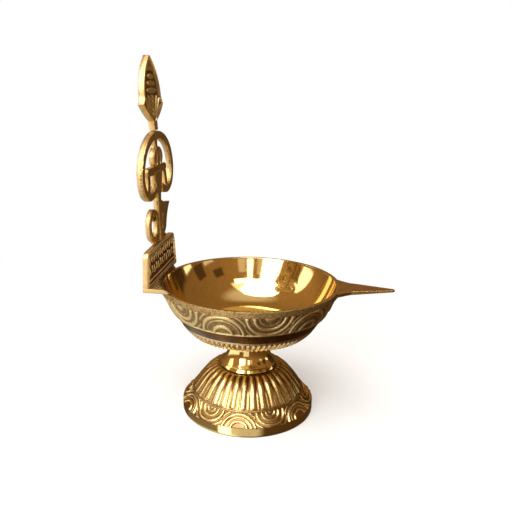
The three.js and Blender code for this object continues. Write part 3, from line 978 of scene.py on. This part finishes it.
CAMERA_AZIMUTH = 7.23  # degrees round from straight in front of the bowl
CAMERA_SIDE = CAMERA_AZIMUTH - 90  # the same direction, in degrees from +X
FAR_WHITE = 1.0


def camera():
    """The photograph's viewpoint: in front of the bowl, a little towards the spout, looking down on it."""
    azimuth, distance, height = math.radians(CAMERA_AZIMUTH), 245.0, 136.45
    pitch, yaw, roll = math.radians(15.59), math.radians(-0.49), math.radians(1.44)
    focal_length, sensor = 42.98, 36.0
    heading = azimuth + yaw
    forward = np.array(
        [-math.sin(heading) * math.cos(pitch), math.cos(heading) * math.cos(pitch), -math.sin(pitch)]
    )
    level = np.array([math.cos(heading), math.sin(heading), 0])
    up = np.cross(level, forward)
    right = level * math.cos(roll) + up * math.sin(roll)
    up = up * math.cos(roll) - level * math.sin(roll)
    place = np.array([AXIS_X + distance * math.sin(azimuth), -distance * math.cos(azimuth), height]) * MM
    data = bpy.data.cameras.new("studio_camera")
    data.lens, data.sensor_width = focal_length, sensor
    data.clip_start, data.clip_end = 0.01, 20
    eye = bpy.data.objects.new("studio_camera", data)
    rotation = Matrix((right, up, -forward)).transposed().to_4x4()
    eye.matrix_world = Matrix.Translation(place) @ rotation
    bpy.context.scene.collection.objects.link(eye)
    bpy.context.scene.camera = eye


def floor():
    """A wide pale disc that turns into the white of the backdrop well away from the lamp."""
    radius, sides = 3.0, 96
    mesh = bpy.data.meshes.new("floor")
    rim = [
        (radius * math.cos(2 * math.pi * i / sides), radius * math.sin(2 * math.pi * i / sides), 0)
        for i in range(sides)
    ]
    mesh.from_pydata(rim, [], [list(range(sides))])
    disc = bpy.data.objects.new("floor", mesh)
    bpy.context.scene.collection.objects.link(disc)
    material = bpy.data.materials.new("floor_white")
    material.use_nodes = True
    tree = material.node_tree
    shader = tree.nodes["Principled BSDF"]
    shader.inputs["Base Color"].default_value = (0.90, 0.93, 0.97, 1)
    shader.inputs["Roughness"].default_value = 0.7
    shader.inputs["Specular IOR Level"].default_value = 0.1
    place = add(tree, "ShaderNodeTexCoord").outputs["Object"]
    away = add(tree, "ShaderNodeVectorMath", {0: place}, operation="LENGTH").outputs["Value"]
    far = remap(tree, away, 0.03, 0.3, 0.45, 1.0, smooth=True)
    white = add(tree, "ShaderNodeEmission", {"Color": (1, 1, 1, 1), "Strength": FAR_WHITE}).outputs[0]
    mix = add(tree, "ShaderNodeMixShader", {0: far, 1: shader.outputs[0], 2: white}).outputs[0]
    tree.links.new(mix, tree.nodes["Material Output"].inputs["Surface"])
    mesh.materials.append(material)
    disc.visible_glossy = False
    disc.visible_shadow = False


# Azimuth from the camera's side towards the spout, half-width, elevation and half-height, in degrees; then
# strength, and softness of the edge in degrees.
SOFT_BOXES = (
    (-33, 12, 31, 13, 7.0, 4.0),
    (-92, 8, 28, 12, 1.8, 4.0),
    (1, 3.5, 36, 14, 3.2, 2.0),
    (12, 20, 52.5, 3.2, 4.0, 2.0),
    (14, 26, 65, 8, 1.1, 6.0),
    (0, 180, 86, 10, 0.4, 16.0),
    (-90, 32, -13, 7, 1.3, 10.0),
    (-40, 8, -26, 10, 2.4, 6.0),
    (-10, 25, -34, 6, 0.6, 18.0),
    (-14, 12, -6, 8, 0.9, 6.0),
    (-75, 50, -58, 14, 0.7, 18.0),
    (-160, 18, -50, 8, 0.8, 8.0),
    (100, 6, 11, 2.5, 1.5, 2.0),
    (64, 7, 17, 2.5, 0.6, 2.0),
    (14, 4, 29, 8, 0.4, 3.0),
    (-16, 4, 28, 12, 0.35, 3.0),
)
# The same for the dark screens, which dim the room and are seen inside the bowl.
SCREENS = (
    (83, 7, 23, 6, 1.0, 2.0),
    (54, 7, 33, 4, 1.0, 2.0),
    (128, 14, 5, 8, 1.0, 6.0),
)
# Height in the room, from 0 below the table to 1 overhead, and the room's colour there.
ROOM_TONES = ((0.0, (0.11, 0.055, 0.02, 1)), (0.35, (0.21, 0.11, 0.04, 1)), (0.6, (0.40, 0.215, 0.08, 1)))


def panel(tree, axes, azimuth, half_width, elevation, half_height, strength, soft):
    """Brightness of a soft box, or shade of a screen, seen in a given direction."""
    turn = maths(tree, "DEGREES", maths(tree, "ARCTAN2", axes[1], axes[0]))
    centred = maths(tree, "SUBTRACT", turn, CAMERA_SIDE + azimuth)
    wrapped = maths(tree, "WRAP", centred, 180.0, -180.0)
    aside = maths(tree, "ABSOLUTE", wrapped)
    rise = maths(tree, "DEGREES", maths(tree, "ARCSINE", axes[2]))
    above = maths(tree, "ABSOLUTE", maths(tree, "SUBTRACT", rise, elevation))
    across = remap(tree, aside, half_width, half_width + soft, 1.0, 0.0, smooth=True)
    upward = remap(tree, above, half_height, half_height + soft, 1.0, 0.0, smooth=True)
    return maths(tree, "MULTIPLY", maths(tree, "MULTIPLY", across, upward), strength)


def studio():
    """Soft boxes in a dim room. The camera itself sees a plain white backdrop."""
    world = bpy.data.worlds.new("studio")
    world.use_nodes = True
    bpy.context.scene.world = world
    tree = world.node_tree
    direction = add(tree, "ShaderNodeTexCoord").outputs["Generated"]
    axes = add(tree, "ShaderNodeSeparateXYZ", {0: direction}).outputs
    boxes = [panel(tree, axes, *box) for box in SOFT_BOXES]
    screens = [panel(tree, axes, *screen) for screen in SCREENS]
    lit = boxes[0]
    for box in boxes[1:]:
        lit = maths(tree, "ADD", lit, box)
    shade = screens[0]
    for screen in screens[1:]:
        shade = maths(tree, "ADD", shade, screen)
    room = add(tree, "ShaderNodeValToRGB", {"Fac": remap(tree, axes[2], -0.6, 1.0)})
    low, middle, high = ROOM_TONES
    ramp = room.color_ramp
    ramp.elements[0].position, ramp.elements[0].color = low
    ramp.elements[1].position, ramp.elements[1].color = high
    ramp.elements.new(middle[0]).color = middle[1]
    blue = maths(tree, "MULTIPLY", lit, 0.93)
    light = add(tree, "ShaderNodeCombineXYZ", {0: lit, 1: lit, 2: blue}).outputs[0]
    inward = maths(tree, "ADD", axes[0], axes[1])
    side = remap(tree, inward, -1.0, 1.2, 1.1, 0.6)
    side = maths(tree, "MULTIPLY", side, remap(tree, shade, 0.0, 1.0, 1.0, 0.3))
    inputs = {0: room.outputs[0], "Scale": side}
    dim = add(tree, "ShaderNodeVectorMath", inputs, operation="SCALE").outputs[0]
    total = add(tree, "ShaderNodeVectorMath", {0: dim, 1: light}, operation="ADD").outputs[0]
    seen = add(tree, "ShaderNodeLightPath").outputs["Is Camera Ray"]
    colour = blend(tree, seen, total, (FAR_WHITE, FAR_WHITE, FAR_WHITE, 1))
    tree.links.new(colour, tree.nodes["Background"].inputs["Color"])


def top_light():
    """A soft overhead lamp that lights the floor evenly and throws a faint shadow."""
    data = bpy.data.lights.new("overhead", "AREA")
    data.shape, data.size, data.energy = "DISK", 0.9, 11.0
    lamp = bpy.data.objects.new("overhead", data)
    lamp.location = (-0.2, -0.35, 1.1)
    lamp.rotation_euler = (math.radians(18), math.radians(-10), 0)
    bpy.context.scene.collection.objects.link(lamp)


camera()
floor()
studio()
top_light()
bpy.context.scene.view_settings.view_transform = "Standard"
